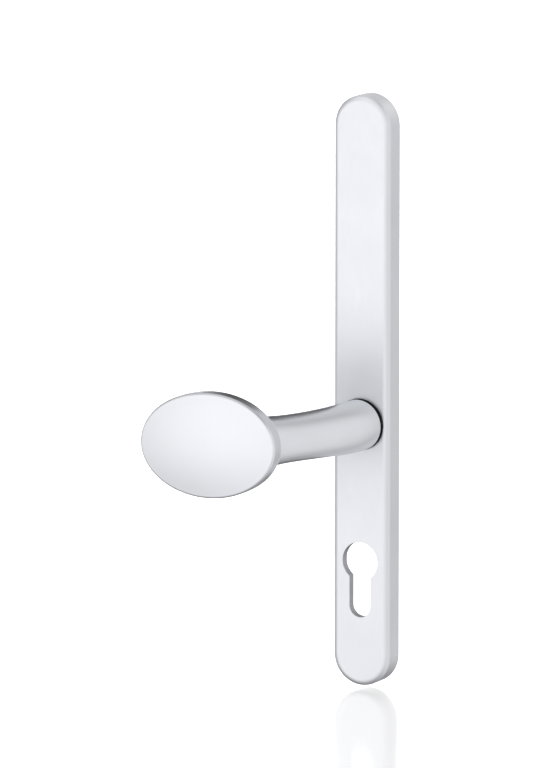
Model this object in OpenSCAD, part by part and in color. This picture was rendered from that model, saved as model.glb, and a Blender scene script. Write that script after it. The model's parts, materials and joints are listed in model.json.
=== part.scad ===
// Pad handle on a narrow backplate for a multipoint door lock with a euro profile cylinder.
// The row stands as it does on the door: +Z is up, the door face is the plane y = 0 and the
// handle reaches out towards -Y. The origin is on the handle's turning axis, at the door face.
// Most pieces are drawn lying flat, with their height measured outwards from the door.

/* [Backplate] */
// Width across the backplate
plate_w = 27.6; // [27.4:0.2:32]
// Length of the backplate from top to bottom
plate_len = 265.5; // [264.5:0.5:280]
// How far the face of the backplate stands off the door
plate_t = 11; // [11:0.25:13]
// Radius of the softened front edge
plate_edge_r = 2.7; // [1:0.1:3.5]
// Thickness of the front wall
face_t = 2; // [1.6:0.1:2]
// Thickness of the side walls
rim_t = 1.5; // [1.2:0.1:1.6]
// From the top of the backplate down to the turning axis
axis_drop = 147; // [146.5:0.5:150]

/* [Lock cylinder cut-out] */
// From the turning axis down to the centre of the lock cylinder
cyl_pitch = 62; // [60:0.5:62]
// Diameter of the round part of the cut-out
cyl_d = 17.4; // [17.2:0.1:18]
// Width of the cut-out's slot
cyl_slot_w = 10.4; // [10.3:0.1:11]
// Height of the whole cut-out
cyl_h = 34; // [33.4:0.1:34]

/* [Handle] */
// Length of the oval pad
pad_w = 67.2; // [60:0.2:76]
// Height of the oval pad
pad_h = 47; // [40:0.2:50]
// Thickness of the pad at its rim
pad_t = 6; // [4:0.5:8]
// How far the middle of the pad's face rises above its edge
pad_crown = 1.8; // [0.4:0.1:2]
// How far the oval is turned in its own plane, its outer end downwards
pad_tilt = 3; // [0:0.5:5]
// Sideways offset of the pad's centre from the turning axis
pad_offset = 35.2; // [32:0.2:38]
// Reach from the door to the middle of the pad's face
pad_reach = 89.6; // [80:0.2:94]
// Diameter of the neck where it meets the bush
foot_d = 22.8; // [22:0.1:23]
// Diameter of the neck at its slimmest
waist_d = 21.2; // [18:0.1:21.8]

/* [Fixing] */
// Distance between the two fixing posts
post_pitch = 215; // [212:0.5:216]
// From the turning axis down to the lower post
post_drop = 103; // [102.5:0.5:103]
// Outside diameter of a post
post_d = 8; // [7:0.5:8]
// How far a post reaches into the door
post_reach = 9; // [4:1:12]

/* [Motion] */
// Largest turn of the handle to either side
turn_limit = 45; // [30:1:45]

/* [Hidden] */

$fn = 96;
run_gap = 0.05;      // radial clearance of a turning fit
seat_gap = 0.02;     // clearance of a fixed seat
cut = 1;             // how far a cutting body runs past the face it cuts

// Backplate
half_w = plate_w / 2;
end_top = axis_drop - half_w;
end_bottom = axis_drop - plate_len + half_w;
inner_half_w = half_w - rim_t;
inner_t = plate_t - face_t;
inner_edge_r = 0.5;
boss_r = 2.4;
pilot_r = 1.25;
collar_h = 1.9;      // how far the wall is thickened round the lock cylinder cut-out
collar_w = 1.5;

// Bush
bush_flange_r = foot_d / 2 + 0.1;
bush_flange_h = 1.9;
bush_barrel_r = 9;
bush_tail = 0.4;     // how far the barrel passes the front wall
bush_top = plate_t + bush_flange_h;

// Shank: journal in the bush, drive end in the rotor, spigot in the handle's neck
journal_r = 7;
journal_flat = 6;
drive_r = 6.4;
drive_flat = 5.4;
spigot_r = 6;
spigot_h = 10.6;
socket_w = 8.1;
shank_low = 0.6;
journal_low = 5.7;
key_top = 8.2;       // top of the flats that turn the stop washer
shank_seat = bush_top + run_gap;
socket_end = shank_seat - 0.4;
end_gap = 0.2;       // space past the end of the spigot
grub_at = shank_seat + 5.2;
grub_r = 2.5;

// Retaining parts between the cassette and the bush
circlip_low = 6.1;
circlip_t = 0.75;
groove_r = 6.35;
circlip_r = 8.2;
stop_low = 7;
stop_t = 1;
stop_ring_r = 8.6;
tab_w = 6;
tab_r = 13.4;
buffer_r = 1.8;
buffer_ring_r = 10.7;
buffer_peg_r = 0.9;
buffer_low = 6.9;
buffer_angle = turn_limit + asin((tab_w / 2 + buffer_r) / buffer_ring_r) + 0.6;

// Return spring cassette
inside_gap = 0.3;    // play between the parts inside the cassette
cassette_low = 0.4;
cassette_floor = 1.2;
cassette_top = 5;
cassette_half_w = inner_half_w - 0.4;
cassette_half_h = 22.5;
cassette_sheet_t = 0.55;
cassette_outside_top = cassette_top + cassette_sheet_t;
channel_r = 11.3;
hub_r = 7.65;
hub_boss_r = 7.2;
lug_w = 4.4;
lug_r = 11.15;
spring_ring_r = 9.45;
spring_coil_r = 1.3;
spring_wire_r = 0.35;
spring_turns = 12;
spring_start = 15;
spring_end = 169;
cassette_screw_y = 17;
rivet_x = 7.5;
rivet_y = 14.6;
rivet_r = 1;
rivet_head_r = 1.6;
rivet_head_h = 0.35;

// Fixing
block_low = 0.6;
block_top = inner_t - 0.6;
block_gap = 0.3;
block_screw_y = 8.5;
block_boss_low = 5;
post_hex_d = 12.6;
post_hex_h = 4;
post_bore_r = 2.1;
post_gap = 0.1;
post_floor = 2;      // wall left past the end of the threaded hole
post_y = [post_pitch - post_drop, -post_drop];
screw_r = 1.2;
screw_head_r = 2.9;
screw_head_h = 1.5;
screw_hole_gap = 0.3;
screw_tip_gap = 0.6;
head_sink = 0.1;     // how far a screw's head lies below the face it is screwed into
block_half_h = 14;
lower_block_top = 12.4;

// ---- Placing and drawing -------------------------------------------------------------------

// Stands what is drawn lying flat up against the door, its height outwards
module on_door() {
    rotate([90, 0, 0]) children();
}

// A slab of an outline, from one height to another
module slab(low, high) {
    translate([0, 0, low]) linear_extrude(high - low) children();
}

// A round-ended outline whose end circles are centred at the given heights on the y axis
module stadium(r, low, high) {
    translate([-r, low]) square([2 * r, high - low]);
    translate([0, low]) circle(r);
    translate([0, high]) circle(r);
}

// Half of the section across a bar whose upper edge is rounded
module half_section(r, height, edge_r) {
    square([r, height - edge_r]);
    square([r - edge_r, height]);
    translate([r - edge_r, height - edge_r]) circle(edge_r);
}

// A round-ended bar lying flat, with a rounded upper edge all round
module round_bar(r, height, edge_r, low, high) {
    translate([0, high, 0]) rotate_extrude(angle = 180) half_section(r, height, edge_r);
    translate([0, low, 0]) rotate([0, 0, 180]) rotate_extrude(angle = 180) half_section(r, height, edge_r);
    translate([0, high, 0]) rotate([90, 0, 0]) linear_extrude(high - low) {
        half_section(r, height, edge_r);
        mirror([1, 0]) half_section(r, height, edge_r);
    }
}

// A disc with two flats, facing left and right
module flatted_disc(r, flat) {
    intersection() {
        circle(r);
        square([2 * flat, 2 * r + 2 * cut], center = true);
    }
}

// The faces that close a stack of rings, each with the same number of points
function loft_faces(rows, cols) = concat(
    [[for (i = [0:cols - 1]) i]],
    [for (r = [0:rows - 2], i = [0:cols - 1], half = [0, 1])
        let (a = r * cols + i, b = r * cols + (i + 1) % cols)
        half == 0 ? [b, a, a + cols] : [b, a + cols, b + cols]],
    [[for (i = [cols - 1:-1:0]) (rows - 1) * cols + i]]);

// A closed body through a stack of rings
module loft(rings) {
    polyhedron(points = [for (ring = rings, p = ring) p], faces = loft_faces(len(rings), len(rings[0])),
        convexity = 6);
}

// A countersunk self-tapping screw, its head down at height 0 and its tip up
module countersunk_screw(length) {
    recess_size = [3.4, 0.8];
    recess_depth = 1;
    point_h = 1;
    point_r = 0.4;
    difference() {
        union() {
            cylinder(h = screw_head_h, r1 = screw_head_r, r2 = screw_r);
            cylinder(h = length - point_h, r = screw_r);
            translate([0, 0, length - point_h]) cylinder(h = point_h, r1 = screw_r, r2 = point_r);
        }
        for (turn = [0, 90]) rotate([0, 0, turn])
            slab(-cut, recess_depth) square(recess_size, center = true);
    }
}

// The hole that such a screw passes through, from the face where its head lies
module countersunk_hole(depth) {
    head_hole_r = screw_head_r + 0.15;
    hole_r = screw_r + screw_hole_gap;
    translate([0, 0, -0.05]) cylinder(h = screw_head_h, r1 = head_hole_r, r2 = hole_r);
    translate([0, 0, -cut]) cylinder(h = cut, r = head_hole_r);
    cylinder(h = depth + cut, r = hole_r);
}

// ---- Backplate -----------------------------------------------------------------------------

// The euro profile: a round hole with a round-ended slot below it, grown all round by a margin
module euro_profile(margin = 0) {
    slot_r = cyl_slot_w / 2;
    slot_end = cyl_h - cyl_d / 2 - slot_r;
    circle(r = cyl_d / 2 + margin);
    translate([0, -slot_end]) circle(r = slot_r + margin);
    translate([-slot_r - margin, -slot_end]) square([2 * (slot_r + margin), slot_end]);
}

// Heights on the y axis of the screws that hold the cassette and the two anchor blocks
cassette_screw_ys = [-cassette_screw_y, cassette_screw_y];
block_screw_ys = [for (y = post_y, side = [-1, 1]) y + side * block_screw_y];

module buffer_places() {
    for (side = [-1, 1]) rotate([0, 0, side * buffer_angle]) translate([0, buffer_ring_r, 0]) children();
}

// Tapped bosses cast on the inside of the front wall, from a height up into the wall
module bosses(ys, low) {
    for (y = ys) translate([0, y, low]) cylinder(h = inner_t - low + face_t / 2, r = boss_r);
}

module pilot_holes(ys, low) {
    for (y = ys) translate([0, y, low - cut]) cylinder(h = inner_t - low + cut, r = pilot_r);
}

module backplate_cover() {
    color("gainsboro") on_door() difference() {
        union() {
            difference() {
                round_bar(half_w, plate_t, plate_edge_r, end_bottom, end_top);
                translate([0, 0, -cut])
                    round_bar(inner_half_w, inner_t + cut, inner_edge_r, end_bottom, end_top);
            }
            bosses(cassette_screw_ys, cassette_outside_top);
            bosses(block_screw_ys, block_boss_low);
            translate([0, -cyl_pitch, 0]) slab(inner_t - collar_h, inner_t + face_t / 2) euro_profile(collar_w);
            buffer_places() translate([0, 0, buffer_low])
                cylinder(h = inner_t - buffer_low + face_t / 2, r = buffer_peg_r);
        }
        pilot_holes(cassette_screw_ys, cassette_outside_top);
        pilot_holes(block_screw_ys, block_boss_low);
        cylinder(h = plate_t + cut, r = bush_barrel_r + seat_gap);
        translate([0, -cyl_pitch, 0]) slab(0, plate_t + cut) euro_profile();
    }
}

// ---- Turning joint -------------------------------------------------------------------------

module guide_bush() {
    edge = 0.3;
    color([0.08, 0.08, 0.09]) on_door() rotate_extrude() polygon([
        [journal_r + run_gap, inner_t - bush_tail],
        [bush_barrel_r - edge, inner_t - bush_tail],
        [bush_barrel_r, inner_t - bush_tail + edge],
        [bush_barrel_r, plate_t],
        [bush_flange_r, plate_t],
        [bush_flange_r, bush_top - edge],
        [bush_flange_r - edge, bush_top],
        [journal_r + run_gap, bush_top]]);
}

module drive_shank() {
    spigot_top = shank_seat + spigot_h;
    chamfer = 1;
    groove_gap = 0.05;
    color("silver") on_door() difference() {
        union() {
            slab(shank_low, journal_low) flatted_disc(drive_r, drive_flat);
            slab(journal_low, key_top) flatted_disc(journal_r, journal_flat);
            slab(key_top, shank_seat) circle(journal_r);
            slab(shank_seat, spigot_top - chamfer) circle(spigot_r);
            translate([0, 0, spigot_top - chamfer])
                cylinder(h = chamfer, r1 = spigot_r, r2 = spigot_r - 0.8 * chamfer);
        }
        slab(shank_low - cut, socket_end) square(socket_w, center = true);
        slab(circlip_low - groove_gap, circlip_low + circlip_t + groove_gap) difference() {
            circle(journal_r + cut);
            circle(groove_r);
        }
    }
}

module spring_washer() {
    inner_r = journal_r + 0.15;
    outer_r = stop_ring_r;
    low = stop_low + stop_t + 0.02;
    thick = 0.25;
    dish = 0.3;
    color("silver") on_door() rotate_extrude() polygon([
        [inner_r, low], [outer_r, low + dish], [outer_r, low + dish + thick], [inner_r, low + thick]]);
}

module stop_washer() {
    tab_corner_r = 1;
    color("darkgray") on_door() slab(stop_low, stop_low + stop_t) difference() {
        union() {
            circle(stop_ring_r);
            hull() {
                translate([-tab_w / 2, 0]) square([tab_w, 1]);
                for (side = [-1, 1])
                    translate([side * (tab_w / 2 - tab_corner_r), tab_r - tab_corner_r]) circle(tab_corner_r);
            }
        }
        flatted_disc(journal_r + run_gap, journal_flat + run_gap);
    }
}

module retaining_circlip() {
    gap_w = 5;
    lug_x = 4;
    clip_lug_r = 1.5;
    clip_lug_y = 0.5 - circlip_r;
    lug_hole_r = 0.7;
    lug_hole_y = 0.3 - circlip_r;
    color("dimgray") on_door() slab(circlip_low, circlip_low + circlip_t) difference() {
        union() {
            difference() {
                circle(circlip_r);
                translate([-gap_w / 2, -circlip_r - cut]) square([gap_w, circlip_r]);
            }
            for (side = [-1, 1]) translate([side * lug_x, clip_lug_y]) circle(clip_lug_r);
        }
        circle(groove_r + seat_gap);
        for (side = [-1, 1]) translate([side * lug_x, lug_hole_y]) circle(lug_hole_r);
    }
}

module stop_buffers() {
    color([0.13, 0.13, 0.13]) on_door() buffer_places() slab(buffer_low, inner_t - 0.1) difference() {
        circle(buffer_r);
        circle(buffer_peg_r + seat_gap);
    }
}

// ---- Return spring cassette ----------------------------------------------------------------

module cassette_outline() {
    end = cassette_half_h - cassette_half_w;
    stadium(cassette_half_w, -end, end);
}

module rivet_places() {
    for (x = [-rivet_x, rivet_x], y = [-rivet_y, rivet_y]) translate([x, y, 0]) children();
}

module cassette_body() {
    rib_w = 2.4;
    sink_depth = 0.5;
    color("lightslategray") on_door() difference() {
        slab(cassette_low, cassette_top) cassette_outline();
        slab(cassette_floor, cassette_top + cut) difference() {
            circle(channel_r);
            translate([-rib_w / 2, -channel_r - cut]) square([rib_w, channel_r + cut - hub_r - inside_gap]);
        }
        slab(cassette_low - cut, cassette_floor + cut) circle(hub_boss_r + run_gap);
        rivet_places() cylinder(h = cassette_top + cut, r = rivet_r + seat_gap);
        rivet_places() cylinder(h = cassette_low + sink_depth, r = rivet_head_r + inside_gap / 3);
        for (y = cassette_screw_ys) translate([0, y, cassette_low]) countersunk_hole(cassette_top);
    }
}

module cassette_rotor() {
    color("goldenrod") on_door() difference() {
        union() {
            slab(cassette_floor + inside_gap / 3, cassette_top - inside_gap / 3) {
                circle(hub_r);
                intersection() {
                    circle(lug_r);
                    translate([-lug_w / 2, 0]) square([lug_w, lug_r + cut]);
                }
            }
            slab(cassette_low + inside_gap / 3, cassette_outside_top - inside_gap / 3) circle(hub_boss_r);
        }
        slab(0, plate_t) flatted_disc(drive_r + run_gap, drive_flat + run_gap);
    }
}

// A round wire coiled along an arc round the turning axis, to the right of the lug
function coil_centre(u) =
    let (around = spring_start + (spring_end - spring_start) * u)
    [spring_ring_r * sin(around), spring_ring_r * cos(around), (cassette_floor + cassette_top) / 2];
function coil_outward(u) =
    let (around = spring_start + (spring_end - spring_start) * u, phase = 360 * spring_turns * u)
    [sin(around) * cos(phase), cos(around) * cos(phase), sin(phase)];
function coil_point(u) = coil_centre(u) + spring_coil_r * coil_outward(u);

module return_spring() {
    steps = 9 * spring_turns;
    sides = 6;
    reach = 0.25 / steps;
    loft([for (i = [0:steps])
        let (u = i / steps, out = coil_outward(u))
        let (along = coil_point(u + reach) - coil_point(u - reach))
        let (b = cross(out, along), across = b / norm(b))
        [for (k = [0:sides - 1]) let (a = 360 * k / sides)
            coil_point(u) + spring_wire_r * (out * cos(a) + across * sin(a))]]);
}

module return_spring_right() {
    color("lightsteelblue") on_door() return_spring();
}

module return_spring_left() {
    color("lightsteelblue") on_door() mirror([1, 0, 0]) return_spring();
}

module cassette_cover() {
    color("silver") on_door() slab(cassette_top, cassette_outside_top) difference() {
        cassette_outline();
        circle(hub_boss_r + run_gap);
        rivet_places() circle(rivet_r + seat_gap);
        for (y = cassette_screw_ys) translate([0, y]) circle(screw_r + screw_hole_gap);
    }
}

module cassette_rivets() {
    rivet_low = cassette_low + inside_gap / 3;
    color("gainsboro") on_door() rivet_places() {
        slab(rivet_low, cassette_outside_top) circle(rivet_r);
        slab(rivet_low, rivet_low + rivet_head_h) circle(rivet_head_r);
        slab(cassette_outside_top, cassette_outside_top + rivet_head_h) circle(rivet_head_r);
    }
}

module cassette_screws() {
    color("gray") on_door() for (y = cassette_screw_ys)
        translate([0, y, cassette_low + head_sink]) countersunk_screw(inner_t - cassette_low - screw_tip_gap);
}

// ---- Fixing to the door --------------------------------------------------------------------

// A moulded block that fills the backplate round one post, between two heights on the y axis
module anchor_block(y, low, high) {
    difference() {
        slab(block_low, block_top) intersection() {
            stadium(inner_half_w - block_gap, end_bottom, end_top);
            translate([-plate_w / 2, low]) square([plate_w, high - low]);
        }
        translate([0, y, 0]) {
            cylinder(h = block_top, d = post_d + post_gap);
            slab(block_top - post_hex_h, block_top + cut) circle(d = post_hex_d + 2 * post_gap, $fn = 6);
        }
        for (side = [-1, 1]) translate([0, y + side * block_screw_y, 0]) {
            translate([0, 0, block_low]) countersunk_hole(block_boss_low);
            translate([0, 0, block_boss_low]) cylinder(h = plate_t, r = boss_r + post_gap);
        }
    }
}

module upper_anchor_block() {
    color("slategray") on_door() anchor_block(post_y[0], post_y[0] - block_half_h, post_y[0] + block_half_h);
}

module lower_anchor_block() {
    color("slategray") on_door()
        anchor_block(post_y[1], post_y[1] - block_half_h, post_y[1] + lower_block_top);
}

// A tapped post with a hexagonal head, which the block and the front wall hold captive
module fixing_post(y) {
    edge = 0.6;
    difference() {
        translate([0, y, 0]) {
            translate([0, 0, -post_reach]) cylinder(h = edge, d1 = post_d - 2 * edge, d2 = post_d);
            slab(-post_reach + edge, block_top - post_gap) circle(d = post_d);
            slab(block_top - post_hex_h, block_top - post_gap) circle(d = post_hex_d, $fn = 6);
        }
        translate([0, y, -post_reach - cut])
            cylinder(h = post_reach + cut + block_top - post_floor, r = post_bore_r);
    }
}

module upper_fixing_post() {
    color("darkkhaki") on_door() fixing_post(post_y[0]);
}

module lower_fixing_post() {
    color("darkkhaki") on_door() fixing_post(post_y[1]);
}

module anchor_block_screws() {
    color("gray") on_door() for (y = block_screw_ys)
        translate([0, y, block_low + head_sink]) countersunk_screw(inner_t - block_low - screw_tip_gap);
}

// ---- Handle --------------------------------------------------------------------------------

neck_sides = 32;
neck_steps = 14;
pad_sides = 48;
pad_edge_r = 1.2;
pad_dome = 5;                    // how far the pad's back bulges towards the door
face_edge = pad_reach - pad_crown;
rim_back = face_edge - pad_t;
neck_sunk = 0.5;                 // how far the neck's end stands below the pad's rim
neck_end = [-0.72 * pad_offset, rim_back - neck_sunk];
neck_bend = [0, 35];
foot_run = 0.15;                 // share of the run that keeps the foot's diameter
waist_at = 0.64;                 // share of the neck's run from the foot to its slimmest point
flare_r = 5.5;                   // how much the neck widens into the pad's back

function ease(u) = let (c = max(0, min(1, u))) c * c * (3 - 2 * c);

// The neck's centre line: straight out of the foot, then swinging over to the pad
function neck_point(t) =
    pow(1 - t, 2) * [0, shank_seat] + 2 * t * (1 - t) * neck_bend + pow(t, 2) * neck_end;

// The way a section of the neck faces: along the centre line, then square to the pad where it flares
function neck_heading(t) =
    let (along = (1 - t) * (neck_bend - [0, shank_seat]) + t * (neck_end - neck_bend))
    let (lean = (1 - ease((t - waist_at) / (1 - waist_at))) * atan2(-along.x, along.y))
    [-sin(lean), cos(lean)];
function neck_r(t) =
    foot_d / 2 - (foot_d - waist_d) / 2 * ease((t - foot_run) / (waist_at - foot_run))
    + flare_r * pow(max(0, t - waist_at) / (1 - waist_at), 3);

module neck() {
    loft([for (i = [0:neck_steps])
        let (t = i / neck_steps, p = neck_point(t), h = neck_heading(t), r = neck_r(t))
        [for (k = [0:neck_sides - 1]) let (a = 360 * k / neck_sides)
            [p.x + r * cos(a) * h.y, r * sin(a), p.y - r * cos(a) * h.x]]]);
}

// One level of the pad: a tilted oval, given by the share of its full size and an inset all round
function pad_ring(height, share, inset) =
    [for (k = [0:pad_sides - 1])
        let (a = 360 * k / pad_sides)
        let (x = (share * pad_w / 2 - inset) * cos(a), y = (share * pad_h / 2 - inset) * sin(a))
        [x * cos(pad_tilt) - y * sin(pad_tilt) - pad_offset, x * sin(pad_tilt) + y * cos(pad_tilt), height]];

module pad() {
    back_from = 20;      // angle on the dome at which its flat middle ends
    back = [for (q = [back_from:14:90]) pad_ring(rim_back - pad_dome * cos(q), sin(q), 0)];
    edge = [for (q = [0:22.5:90])
        pad_ring(face_edge - pad_edge_r * (1 - sin(q)), 1, pad_edge_r * (1 - cos(q)))];
    crown = [for (share = [0.75, 0.5, 0.25]) pad_ring(face_edge + pad_crown * (1 - share * share), share, 0)];
    loft(concat(back, edge, crown));
}

module pad_handle() {
    color("whitesmoke") on_door() difference() {
        union() {
            neck();
            pad();
        }
        translate([0, 0, shank_seat - cut]) cylinder(h = spigot_h + cut + end_gap, r = spigot_r + seat_gap);
        translate([0, 0, grub_at]) rotate([90, 0, 0]) cylinder(h = foot_d, r = grub_r + seat_gap);
    }
}

module shank_grub_screw() {
    length = foot_d / 2 - spigot_r - 0.6;
    key_depth = 2;
    key_d = 2.9;
    color("dimgray") on_door() translate([0, -spigot_r, grub_at]) rotate([90, 0, 0]) difference() {
        cylinder(h = length, r = grub_r);
        translate([0, 0, length - key_depth]) cylinder(h = key_depth + cut, d = key_d, $fn = 6);
    }
}

backplate_cover();
guide_bush();
pad_handle();
drive_shank();
shank_grub_screw();
spring_washer();
stop_washer();
retaining_circlip();
stop_buffers();
cassette_body();
cassette_rotor();
return_spring_left();
return_spring_right();
cassette_cover();
cassette_rivets();
cassette_screws();
upper_anchor_block();
lower_anchor_block();
upper_fixing_post();
lower_fixing_post();
anchor_block_screws();
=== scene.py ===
"""Looks of the pad handle on its backplate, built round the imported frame.

Finer meshes stand for the handle, its bush and the two return springs. Every other piece is the CAD
node itself with a better material. Lengths are metres in the row's frame: +Z is up the door and -Y
is out of it. "out" is a distance from the door.
"""

import json
import math

import bpy
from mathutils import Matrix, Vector


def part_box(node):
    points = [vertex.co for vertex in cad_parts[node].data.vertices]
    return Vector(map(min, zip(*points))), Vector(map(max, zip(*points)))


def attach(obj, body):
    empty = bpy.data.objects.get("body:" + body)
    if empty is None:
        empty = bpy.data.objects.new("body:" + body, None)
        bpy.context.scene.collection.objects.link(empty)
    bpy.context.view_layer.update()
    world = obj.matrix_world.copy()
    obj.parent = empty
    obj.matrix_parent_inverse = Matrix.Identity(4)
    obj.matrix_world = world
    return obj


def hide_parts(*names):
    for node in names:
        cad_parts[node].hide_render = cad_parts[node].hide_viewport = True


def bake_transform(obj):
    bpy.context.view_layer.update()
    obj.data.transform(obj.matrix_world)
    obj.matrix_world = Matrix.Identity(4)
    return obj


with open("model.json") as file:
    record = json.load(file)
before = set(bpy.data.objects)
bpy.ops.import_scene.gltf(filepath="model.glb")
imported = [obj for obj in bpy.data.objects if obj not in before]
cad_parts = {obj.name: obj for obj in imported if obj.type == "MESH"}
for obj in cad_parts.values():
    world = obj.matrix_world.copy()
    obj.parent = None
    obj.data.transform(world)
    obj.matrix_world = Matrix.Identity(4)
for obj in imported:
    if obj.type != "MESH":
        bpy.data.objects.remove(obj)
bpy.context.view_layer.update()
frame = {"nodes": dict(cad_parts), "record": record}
nodes = frame["nodes"]

MM = 0.001


# ---- Sizes read from the frame --------------------------------------------------------------

plate_low, plate_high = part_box("backplate_cover")
plate_out = -plate_low.y
bush_low, bush_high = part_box("guide_bush")
bush_out = -bush_low.y
bush_back = -bush_high.y
flange_r = bush_high.x
handle_low, handle_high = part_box("pad_handle")
face_out = -handle_low.y
foot_out = -handle_high.y
foot_r = handle_high.x
shank_out = -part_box("drive_shank")[0].y

cut_out = next(mount for mount in frame["record"]["mounts"] if mount["name"] == "lock_cylinder_hole")
cut_centre = Vector(cut_out["pos_m"])
cut_r = cut_out["dims"]["r_mm"] * MM

PAD_TILT = math.radians(3)
PAD_CROWN = 1.8 * MM
PAD_EDGE_R = 1.2 * MM
PAD_T = 6 * MM
PAD_DOME = 5 * MM


def oval_radius(reach, other):
    """A tilted oval's radius near one axis, from its reach along that axis and along the other."""
    square = (reach * math.cos(PAD_TILT)) ** 2 - (other * math.sin(PAD_TILT)) ** 2
    return math.sqrt(square / math.cos(2 * PAD_TILT))


rim_front = face_out - PAD_CROWN
rim_back = rim_front - PAD_T
rim_points = [v.co for v in nodes["pad_handle"].data.vertices if -v.co.y > rim_back + MM]
pad_left = min(p.x for p in rim_points)
pad_right = max(p.x for p in rim_points)
pad_x = (pad_left + pad_right) / 2
reach_w = (pad_right - pad_left) / 2
reach_h = handle_high.z
pad_half_w = oval_radius(reach_w, reach_h)
pad_half_h = oval_radius(reach_h, reach_w)


# ---- Mesh tools -----------------------------------------------------------------------------


def ease(u):
    """A smooth step from 0 to 1."""
    u = max(0.0, min(1.0, u))
    return u * u * (3 - 2 * u)


def full_turn(sides):
    """Evenly spaced angles once round."""
    return [2 * math.pi * k / sides for k in range(sides)]


def new_object(name, points, faces):
    mesh = bpy.data.meshes.new(name)
    mesh.from_pydata([tuple(p) for p in points], [], faces)
    mesh.validate()
    obj = bpy.data.objects.new(name, mesh)
    bpy.context.scene.collection.objects.link(obj)
    return obj


def loft(name, rings, looped=False):
    """A closed surface through rings of equally many points, ending in flat caps or looped round."""
    count = len(rings[0])
    points = [p for ring in rings for p in ring]
    faces = []
    rows = len(rings) if looped else len(rings) - 1
    for row in range(rows):
        a = row * count
        b = (row + 1) % len(rings) * count
        for i in range(count):
            j = (i + 1) % count
            faces.append((a + i, a + j, b + j, b + i))
    if not looped:
        faces.append(tuple(reversed(range(count))))
        faces.append(tuple(range(len(points) - count, len(points))))
    return new_object(name, points, faces)


def turned(name, profile, sides=128):
    """A ring turned about the Y axis from a closed profile of (radius, out) points."""
    rings = []
    for a in full_turn(sides):
        rings.append([Vector((r * math.cos(a), -out, r * math.sin(a))) for r, out in profile])
    return loft(name, rings, looped=True)


def cylinder(name, start, end, radius, sides=96):
    along = (end - start).normalized()
    across = along.orthogonal().normalized()
    other = along.cross(across)
    circle = [radius * (across * math.cos(a) + other * math.sin(a)) for a in full_turn(sides)]
    return loft(name, [[start + c for c in circle], [end + c for c in circle]])


def combine(base, tools):
    """base with each (operation, tool) carried out on it. The tools are used up."""
    for operation, tool in tools:
        step = base.modifiers.new(operation, "BOOLEAN")
        step.operation = operation
        step.solver = "EXACT"
        step.object = tool
    bpy.context.view_layer.update()
    evaluated = base.evaluated_get(bpy.context.evaluated_depsgraph_get())
    result = bpy.data.meshes.new_from_object(evaluated)
    base.modifiers.clear()
    base.data = result
    for _, tool in tools:
        bpy.data.objects.remove(tool)


def soften(obj, angle=35):
    """Smooth shading with crisp edges where faces meet at more than the angle."""
    obj.data.shade_smooth()
    obj.data.set_sharp_from_angle(angle=math.radians(angle))
    weighted = obj.modifiers.new("weighted", "WEIGHTED_NORMAL")
    weighted.keep_sharp = True


def arc(cx, cy, radius, start, end, steps):
    """Points (x, y) on an arc between two angles in degrees."""
    angles = [math.radians(start + (end - start) * k / steps) for k in range(steps + 1)]
    return [(cx + radius * math.cos(a), cy + radius * math.sin(a)) for a in angles]


# ---- Materials ------------------------------------------------------------------------------

NOISE_LOW = 0.3            # nearly all of a noise's values lie between these two
NOISE_HIGH = 0.7
EDGE_STARTS = 0.98         # how closely a face's normal agrees with the rounded edge's normal where
EDGE_FULL = 0.8            # wear starts, and where it is full
WALL_LEAN = 0.3            # a hole's wall has less than this of its normal along Y
CUT_HALF_W = 1.04 * cut_r  # an oval just outside the cut-out
CUT_HALF_H = 3.1 * cut_r
# painted shade: the darker tone laid on the wall of the lock cylinder's cut-out, where the recess lies
# in shade
CUT_WALL_SHADE = (0.52, 0.53, 0.55)


class Tree:
    """A short way to build a node tree."""

    def __init__(self, tree):
        self.tree = tree

    def add(self, kind, **settings):
        node = self.tree.nodes.new(kind)
        for key, value in settings.items():
            setattr(node, key, value)
        return node

    def link(self, source, target):
        self.tree.links.new(source, target)

    def math(self, operation, first, second=None):
        """A sum on one value, or on two. Either is an output or a number."""
        node = self.add("ShaderNodeMath", operation=operation)
        for value, target in zip((first, second), node.inputs):
            if isinstance(value, (int, float)):
                target.default_value = value
            elif value is not None:
                self.link(value, target)
        return node.outputs["Value"]

    def spread(self, value, from_low, from_high, low, high, **settings):
        """A value spread from one range over another."""
        node = self.add("ShaderNodeMapRange", **settings)
        node.inputs["From Min"].default_value = from_low
        node.inputs["From Max"].default_value = from_high
        node.inputs["To Min"].default_value = low
        node.inputs["To Max"].default_value = high
        self.link(value, node.inputs["Value"])
        return node.outputs["Result"]


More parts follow.
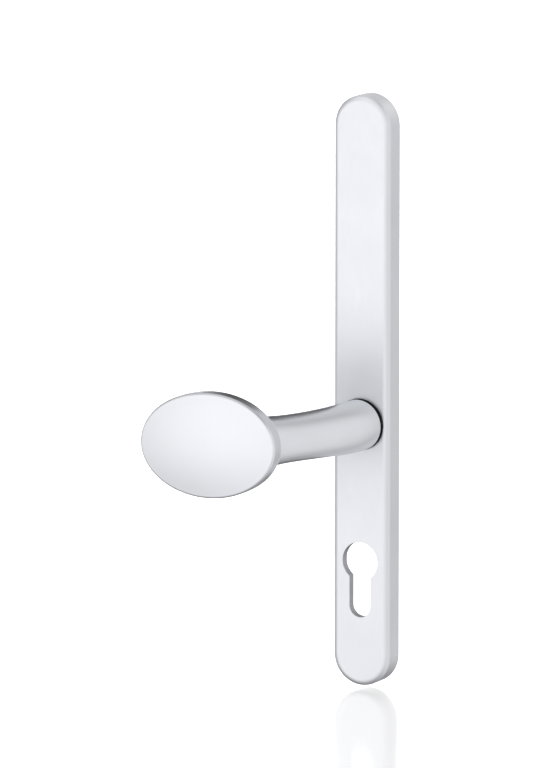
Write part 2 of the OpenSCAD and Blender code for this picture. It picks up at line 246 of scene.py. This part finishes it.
class Surface(Tree):
    """The node tree of one material."""

    def __init__(self, name):
        self.material = bpy.data.materials.new(name)
        self.material.use_nodes = True
        super().__init__(self.material.node_tree)
        self.shader = self.tree.nodes["Principled BSDF"]
        texture = self.add("ShaderNodeTexCoord")
        self.place = texture.outputs["Object"]
        self.normal = texture.outputs["Normal"]

    def mapped(self, scale, shift=(0, 0, 0)):
        """Object coordinates, scaled along each axis and then moved."""
        mapping = self.add("ShaderNodeMapping")
        mapping.inputs["Scale"].default_value = scale
        mapping.inputs["Location"].default_value = shift
        self.link(self.place, mapping.inputs["Vector"])
        return mapping.outputs["Vector"]

    def noise(self, scale, detail, stretch=(1, 1, 1)):
        node = self.add("ShaderNodeTexNoise")
        node.inputs["Scale"].default_value = scale
        node.inputs["Detail"].default_value = detail
        node.inputs["Roughness"].default_value = 0.55
        self.link(self.mapped(stretch), node.inputs["Vector"])
        return node.outputs["Fac"]

    def noise_spread(self, value, low, high):
        return self.spread(value, NOISE_LOW, NOISE_HIGH, low, high)

    def tones(self, value, dark, light):
        node = self.add("ShaderNodeValToRGB")
        node.color_ramp.elements[0].position = NOISE_LOW
        node.color_ramp.elements[0].color = (*dark, 1)
        node.color_ramp.elements[1].position = NOISE_HIGH
        node.color_ramp.elements[1].color = (*light, 1)
        self.link(value, node.inputs["Fac"])
        return node.outputs["Color"]

    def edges(self, radius):
        """1 on sharp edges and 0 on open faces, and the normal that rounds those edges."""
        bevel = self.add("ShaderNodeBevel", samples=6)
        bevel.inputs["Radius"].default_value = radius
        plain = self.add("ShaderNodeNewGeometry")
        dot = self.add("ShaderNodeVectorMath", operation="DOT_PRODUCT")
        self.link(bevel.outputs["Normal"], dot.inputs[0])
        self.link(plain.outputs["Normal"], dot.inputs[1])
        mask = self.spread(dot.outputs["Value"], EDGE_STARTS, EDGE_FULL, 0, 1)
        return mask, bevel.outputs["Normal"]

    def shaded_wall_mask(self, centre, half_width, half_height):
        """1 on the surfaces that run along Y inside an oval round the centre, and 0 elsewhere: the
        mask for painted shade on a hole's wall.
        """
        scale = Vector((1 / half_width, 0, 1 / half_height))
        length = self.add("ShaderNodeVectorMath", operation="LENGTH")
        self.link(self.mapped(scale, -scale * centre), length.inputs[0])
        split = self.add("ShaderNodeSeparateXYZ")
        self.link(self.normal, split.inputs["Vector"])
        inside = self.math("LESS_THAN", length.outputs["Value"], 1)
        wall = self.math("LESS_THAN", self.math("ABSOLUTE", split.outputs["Y"]), WALL_LEAN)
        return self.math("MULTIPLY", inside, wall)

    def mixed(self, factor, first, tone):
        """A colour that turns into the tone where the factor is 1."""
        node = self.add("ShaderNodeMix", data_type="RGBA")
        colour_a, colour_b = [entry for entry in node.inputs if entry.type == "RGBA"]
        self.link(factor, node.inputs[0])
        self.link(first, colour_a)
        colour_b.default_value = (*tone, 1)
        return next(output for output in node.outputs if output.type == "RGBA")

    def bump(self, height, strength, distance, normal):
        node = self.add("ShaderNodeBump")
        node.inputs["Strength"].default_value = strength
        node.inputs["Distance"].default_value = distance
        self.link(height, node.inputs["Height"])
        self.link(normal, node.inputs["Normal"])
        return node.outputs["Normal"]


def finish_material(name, dark, light, worn, rough, grain, metallic=1.0, stretch=(1, 1, 1),
                    depth=0.003, edge=0.15, blotch=60, specular=0.5, cut_wall_shade=None):
    """A surface with two tones, a fine grain, an uneven roughness and edges worn to another tone.

    depth is the height of the grain and edge the width of the worn edges, both in millimetres. The
    last argument, if given, is painted shade: a darker tone laid on the wall of the lock cylinder's
    cut-out, where the recess lies in shade.
    """
    m = Surface(name)
    m.shader.inputs["Metallic"].default_value = metallic
    m.shader.inputs["Specular IOR Level"].default_value = specular
    worn_edge, normal = m.edges(edge * MM)
    fine = m.noise(grain, detail=4, stretch=stretch)
    broad = m.noise(blotch, detail=2)
    colour = m.mixed(worn_edge, m.tones(broad, dark, light), worn)
    # painted shade: the cut-out's wall is turned to the darker tone
    if cut_wall_shade:
        colour = m.mixed(m.shaded_wall_mask(cut_centre, CUT_HALF_W, CUT_HALF_H), colour, cut_wall_shade)
    m.link(colour, m.shader.inputs["Base Color"])
    patchy = m.noise_spread(broad, rough - 0.03, rough + 0.03)
    uneven = m.math("ADD", patchy, m.noise_spread(fine, -0.04, 0.04))
    m.link(uneven, m.shader.inputs["Roughness"])
    m.link(m.bump(fine, 0.5, depth * MM, normal), m.shader.inputs["Normal"])
    return m.material


def anodised(name, stretch, rough, cut_wall_shade=None):
    """Satin anodised aluminium. Its fine drawn grain runs along the stretch's smallest factor."""
    return finish_material(
        name, (0.80, 0.81, 0.83), (0.83, 0.84, 0.86), (0.93, 0.93, 0.94), rough,
        grain=5200, stretch=stretch, depth=0.0012, edge=0.25, blotch=45, cut_wall_shade=cut_wall_shade)


# The slot's darker tone, lighter tone and worn tone, then its roughness and the scale of its grain
MATERIALS = {
    # the plate's material carries the painted shade on the cut-out's wall
    "anodised_aluminium": anodised("anodised_aluminium", (1, 1, 0.03), 0.45, cut_wall_shade=CUT_WALL_SHADE),
    "black_nylon": finish_material(
        "black_nylon", (0.003, 0.003, 0.004), (0.006, 0.006, 0.007), (0.01, 0.01, 0.012), 0.6, 3500,
        metallic=0.0, depth=0.01, specular=0.05),
    "zinc_steel": finish_material(
        "zinc_steel", (0.55, 0.57, 0.60), (0.68, 0.69, 0.72), (0.85, 0.85, 0.86), 0.30, 2600,
        blotch=220),
    "spring_steel": finish_material(
        "spring_steel", (0.26, 0.26, 0.28), (0.38, 0.38, 0.40), (0.62, 0.62, 0.62), 0.34, 2200,
        blotch=260),
    "zinc_alloy": finish_material(
        "zinc_alloy", (0.40, 0.41, 0.43), (0.50, 0.51, 0.53), (0.68, 0.68, 0.69), 0.55, 1500,
        depth=0.02, blotch=180),
    "sintered_bronze": finish_material(
        "sintered_bronze", (0.46, 0.31, 0.14), (0.60, 0.43, 0.21), (0.80, 0.66, 0.40), 0.45, 3800,
        depth=0.02, blotch=300),
    "buffer_rubber": finish_material(
        "buffer_rubber", (0.015, 0.015, 0.015), (0.03, 0.03, 0.03), (0.06, 0.06, 0.06), 0.75, 2400,
        metallic=0.0, depth=0.015),
    "filled_nylon": finish_material(
        "filled_nylon", (0.035, 0.04, 0.045), (0.06, 0.066, 0.072), (0.12, 0.13, 0.13), 0.55, 1800,
        metallic=0.0, depth=0.02, blotch=120),
    "yellow_zinc": finish_material(
        "yellow_zinc", (0.62, 0.50, 0.24), (0.74, 0.60, 0.40), (0.86, 0.80, 0.66), 0.32, 2600,
        blotch=240),
}


def paint(obj, slot, material=None):
    """Gives a piece the look of one of the record's material slots."""
    obj.data.materials.clear()
    obj.data.materials.append(material or MATERIALS[slot])


# ---- Handle ---------------------------------------------------------------------------------

NECK_BEND = Vector((0, -35 * MM, 0))  # where the neck's two straight directions would meet
NECK_SUNK = 0.5 * MM                  # how far the neck runs on into the pad
NECK_SHARE = 0.72                     # how far towards the pad's centre the neck ends
WAIST_R = 10.6 * MM
WAIST_AT = 0.64                       # shares of the neck's length
FOOT_RUN = 0.15
FLARE_R = 5.5 * MM
FOOT_EDGE_R = 0.35 * MM
SHANK_HOLE_R = 6.02 * MM
SHANK_PLAY = 0.2 * MM
GRUB_PLAY = 0.02 * MM
HANDLE_CREASE = 38

neck_start = Vector((0, -foot_out, 0))
neck_end = Vector((NECK_SHARE * pad_x, -(rim_back - NECK_SUNK), 0))


def neck_rings(steps=72, sides=128):
    """Round sections along the neck: straight out of the foot, then swinging over to the pad."""
    rings = []
    for i in range(steps + 1):
        t = i / steps
        centre = (1 - t) ** 2 * neck_start + 2 * t * (1 - t) * NECK_BEND + t ** 2 * neck_end
        along = (1 - t) * (NECK_BEND - neck_start) + t * (neck_end - NECK_BEND)
        turn = 1 - ease((t - WAIST_AT) / (1 - WAIST_AT))
        lean = turn * math.atan2(-along.x, -along.y)
        across = Vector((math.cos(lean), -math.sin(lean), 0))
        radius = foot_r - (foot_r - WAIST_R) * ease((t - FOOT_RUN) / (WAIST_AT - FOOT_RUN))
        radius += FLARE_R * (max(0.0, t - WAIST_AT) / (1 - WAIST_AT)) ** 3
        if i == 0:
            radius -= FOOT_EDGE_R
        circle = [across * math.cos(a) + Vector((0, 0, math.sin(a))) for a in full_turn(sides)]
        rings.append([centre + radius * c for c in circle])
    foot_edge = [neck_start + (p - neck_start) * foot_r / (foot_r - FOOT_EDGE_R) for p in rings[0]]
    rings.insert(1, [p - Vector((0, FOOT_EDGE_R, 0)) for p in foot_edge])
    return rings


def pad_ring(out, share, inset, sides=256):
    """One level of the oval pad, given by the share of its full size and an inset all round."""
    half_w = share * pad_half_w - inset
    half_h = share * pad_half_h - inset
    centre = Vector((pad_x, -out, 0))
    long_way = Vector((math.cos(PAD_TILT), 0, math.sin(PAD_TILT)))
    short_way = Vector((-math.sin(PAD_TILT), 0, math.cos(PAD_TILT)))
    ring = []
    for a in full_turn(sides):
        ring.append(centre + long_way * half_w * math.cos(a) + short_way * half_h * math.sin(a))
    return ring


def pad_rings(face_rings=16):
    """The pad from the flat middle of its back, round the rim and over its slightly raised face."""
    rings = []
    for degrees in range(20, 90, 5):
        a = math.radians(degrees)
        rings.append(pad_ring(rim_back - PAD_DOME * math.cos(a), math.sin(a), 0))
    rings.append(pad_ring(rim_back, 1, 0))
    for degrees in range(0, 91, 10):
        a = math.radians(degrees)
        out = rim_front - PAD_EDGE_R * (1 - math.sin(a))
        rings.append(pad_ring(out, 1, PAD_EDGE_R * (1 - math.cos(a))))
    for k in range(face_rings - 1, 0, -1):
        share = k / face_rings
        rings.append(pad_ring(rim_front + PAD_CROWN * (1 - share ** 2), share, PAD_EDGE_R * share))
    return rings


def build_handle():
    """The pad and its neck in one piece, with the shank's bore and the grub screw's hole."""
    handle = loft("handle", pad_rings())
    neck = loft("neck", neck_rings())
    bore_start = neck_start + Vector((0, MM, 0))
    bore_end = Vector((0, -shank_out - SHANK_PLAY, 0))
    bore = cylinder("bore", bore_start, bore_end, SHANK_HOLE_R)
    grub_low, grub_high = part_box("shank_grub_screw")
    grub_y = (grub_low.y + grub_high.y) / 2
    grub_r = (grub_high.x - grub_low.x) / 2 + GRUB_PLAY
    grub_hole = cylinder("grub_hole", Vector((0, grub_y, 0)), Vector((0, grub_y, -2 * foot_r)), grub_r)
    combine(handle, [("UNION", neck), ("DIFFERENCE", bore), ("DIFFERENCE", grub_hole)])
    soften(handle, HANDLE_CREASE)
    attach(handle, "handle")
    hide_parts("pad_handle")
    paint(handle, "anodised_aluminium", anodised("anodised_handle", (1, 0.4, 1), 0.34))


# ---- Bush -----------------------------------------------------------------------------------

BARREL_R = 9 * MM
BUSH_BORE_R = 7.05 * MM
BUSH_EDGE = 0.4 * MM


def build_bush():
    """The black bush: a barrel in the plate and a flange with a rounded edge on its face."""
    profile = [
        (BUSH_BORE_R, bush_back),
        (BARREL_R - BUSH_EDGE, bush_back),
        (BARREL_R, bush_back + BUSH_EDGE),
        (BARREL_R, plate_out),
        (flange_r, plate_out),
        *arc(flange_r - BUSH_EDGE, bush_out - BUSH_EDGE, BUSH_EDGE, 0, 90, 6),
        (BUSH_BORE_R, bush_out),
    ]
    bush = turned("bush", profile)
    soften(bush)
    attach(bush, "backplate")
    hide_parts("guide_bush")
    paint(bush, "black_nylon")


# ---- Return springs -------------------------------------------------------------------------

SPRING_RING_R = 9.45 * MM
COIL_R = 1.3 * MM
WIRE_R = 0.35 * MM
WIRE_SIDES = 12
TURNS = 12
STEPS_PER_TURN = 28
SPRING_START = math.radians(15)
SPRING_END = math.radians(169)


def build_spring(name, side):
    """A round wire coiled along an arc round the turning axis."""
    spring_low, spring_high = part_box(name)
    middle = (spring_low.y + spring_high.y) / 2

    def wire(u):
        """The wire's centre at a share of its length, and the way from the coil's centre to it."""
        around = SPRING_START + (SPRING_END - SPRING_START) * u
        phase = 2 * math.pi * TURNS * u
        outward = Vector((side * math.sin(around), 0, math.cos(around)))
        coil_out = outward * math.cos(phase) - Vector((0, math.sin(phase), 0))
        return SPRING_RING_R * outward + Vector((0, middle, 0)) + COIL_R * coil_out, coil_out

    steps = STEPS_PER_TURN * TURNS
    rings = []
    for i in range(steps + 1):
        u = i / steps
        point, coil_out = wire(u)
        along = (wire(u + 0.2 / steps)[0] - wire(u - 0.2 / steps)[0]).normalized()
        across = coil_out.cross(along).normalized()
        circle = [coil_out * math.cos(a) + across * math.sin(a) for a in full_turn(WIRE_SIDES)]
        rings.append([point + WIRE_R * c for c in circle])
    spring = loft(name + "_wire", rings)
    soften(spring)
    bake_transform(spring)
    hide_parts(name)
    paint(spring, "spring_steel")


# ---- CAD nodes that are shown as they are ---------------------------------------------------


def paint_nodes():
    for part in frame["record"]["subparts"]:
        node = nodes[part["node"]]
        if not node.hide_render:
            paint(node, part["material_slot"])


# ---- Floor, light and camera ----------------------------------------------------------------

FLOOR_HALF = 12
FLOOR_GAP = 1.2 * MM
FLOOR_TONE = (0.12, 0.12, 0.12)
FLOOR_ROUGH = 0.13
FLOOR_IOR = 1.45
FLOOR_GLOW = 0.62

STUDIO_TINT = (0.975, 0.98, 1)
STUDIO_DIM = 0.01  # the least light from any side
# Patches of light: (direction, flatness, cosine at its edge, cosine where it is full, strength)
STUDIO_GLOW = [
    ((-0.10, -0.98, 0.02), 1, 0.25, 1.0, 1.09),
    ((0.97, 0.22, 0.0), 1, 0.0, 1.0, 0.88),
    ((-1.0, 0.0, -0.10), 1, 0.7, 1.0, 0.50),
    ((-0.46, 0.87, -0.30), 3, 0.74, 0.92, 2.40),
    ((-0.40, 0.10, 0.90), 1, 0.6, 0.95, 0.68),
    ((0.35, 0.62, 0.70), 1, 0.7, 1.0, 0.12),
    ((0.0, 0.0, -1.0), 1, 0.4, 0.9, 0.28),
]

plate_top = (0, 0, plate_high.z)
# Area lights: name: (place, point it faces, width and height, watts)
LIGHTS = {
    "table_sheen": ((-1.3, 2.4, 0.9), (0, 0, 0), (5, 2.2), 120),
    "table_wash": ((0.2, -0.55, 0.02), (0.2, -0.55, -1), (0.9, 0.25), 1.6),
    "top_rim": ((-0.047, 0.27, 0.27), plate_top, (0.40, 0.25), 0.185),
    "top_crown": ((0, -0.1, 0.34), plate_top, (0.45, 0.2), 0.11),
    "face_fill": ((-0.69, -1.30, -0.08), (0, 0, 0), (0.8, 0.8), 0.62),
    "key": ((-0.28, -0.54, -0.02), (0, 0, 0.05), (0.3, 0.3), 0.07),
}
FLOOR_LIGHTS = ("table_sheen", "table_wash")
COVER_LIGHTS = ("top_rim", "top_crown", "face_fill")

CAMERA_AZIMUTH = math.radians(27.93)
CAMERA_DISTANCE = 4.2
CAMERA_HEIGHT = 0.806
CAMERA_LENS = 452.2
CAMERA_REACH = 50
CAMERA_AIM = Vector((-0.05265, 0, 0.01154))


def build_floor():
    """A light table: a large, pale, glossy sheet that glows evenly, just under the plate."""
    z = plate_low.z - FLOOR_GAP
    signs = ((-1, -1), (1, -1), (1, 1), (-1, 1))
    corners = [Vector((x * FLOOR_HALF, y * FLOOR_HALF, z)) for x, y in signs]
    floor = new_object("floor", corners, [(0, 1, 2, 3)])
    m = Surface("floor")
    m.shader.inputs["Base Color"].default_value = (*FLOOR_TONE, 1)
    m.shader.inputs["Roughness"].default_value = FLOOR_ROUGH
    m.shader.inputs["IOR"].default_value = FLOOR_IOR
    m.shader.inputs["Emission Color"].default_value = (1, 1, 1, 1)
    m.shader.inputs["Emission Strength"].default_value = FLOOR_GLOW
    floor.data.materials.append(m.material)
    floor.visible_glossy = False
    return floor


def facing(place, aim):
    """The rotation that turns a light or a camera at one place towards another."""
    return (Vector(aim) - Vector(place)).to_track_quat("-Z", "Y").to_euler()


def area_light(name, place, aim, size, watts):
    light = bpy.data.lights.new(name, "AREA")
    light.shape = "RECTANGLE"
    light.size, light.size_y = size
    light.energy = watts
    obj = bpy.data.objects.new(name, light)
    obj.location = place
    obj.rotation_euler = facing(place, aim)
    obj.visible_camera = False
    bpy.context.scene.collection.objects.link(obj)
    return obj


def light_only(lights, target):
    """Keeps some lights to a single object."""
    lit = bpy.data.collections.new("lit_" + target.name)
    lit.objects.link(target)
    for light in lights:
        light.light_linking.receiver_collection = lit


def glow_patch(w, direction, toward, flatness, edge, full, strength):
    """One soft patch of light. A flatness over 1 presses it into a low, wide band."""
    flat = w.add("ShaderNodeVectorMath", operation="MULTIPLY")
    flat.inputs[1].default_value = (1, 1, flatness)
    w.link(direction, flat.inputs[0])
    unit = w.add("ShaderNodeVectorMath", operation="NORMALIZE")
    w.link(flat.outputs["Vector"], unit.inputs[0])
    dot = w.add("ShaderNodeVectorMath", operation="DOT_PRODUCT")
    dot.inputs[1].default_value = Vector(toward).normalized()
    w.link(unit.outputs["Vector"], dot.inputs[0])
    return w.spread(dot.outputs["Value"], edge, full, 0, strength, interpolation_type="SMOOTHSTEP")


def build_studio():
    """A soft studio: bright in front, at the right and low behind, dim high behind."""
    world = bpy.data.worlds.new("studio")
    world.use_nodes = True
    w = Tree(world.node_tree)
    background = w.tree.nodes["Background"]
    background.inputs["Color"].default_value = (*STUDIO_TINT, 1)
    direction = w.add("ShaderNodeTexCoord").outputs["Generated"]
    total = STUDIO_DIM
    for patch in STUDIO_GLOW:
        total = w.math("ADD", glow_patch(w, direction, *patch), total)
    w.link(total, background.inputs["Strength"])
    bpy.context.scene.world = world


def build_light(floor):
    build_studio()
    lights = {name: area_light(name, *setting) for name, setting in LIGHTS.items()}
    light_only([lights[name] for name in FLOOR_LIGHTS], floor)
    light_only([lights[name] for name in COVER_LIGHTS], nodes["backplate_cover"])


def build_camera():
    """A long lens, aimed a little left of the plate so that the pad has its room."""
    camera = bpy.data.cameras.new("camera")
    camera.lens = CAMERA_LENS
    camera.clip_end = CAMERA_REACH
    obj = bpy.data.objects.new("camera", camera)
    across = CAMERA_DISTANCE * math.sin(CAMERA_AZIMUTH)
    out = CAMERA_DISTANCE * math.cos(CAMERA_AZIMUTH)
    obj.location = (across, -out, CAMERA_HEIGHT)
    obj.rotation_euler = facing(obj.location, CAMERA_AIM)
    bpy.context.scene.collection.objects.link(obj)
    bpy.context.scene.camera = obj


build_handle()
build_bush()
build_spring("return_spring_left", -1)
build_spring("return_spring_right", 1)
paint_nodes()
build_light(build_floor())
build_camera()
bpy.context.scene.view_settings.view_transform = "Standard"
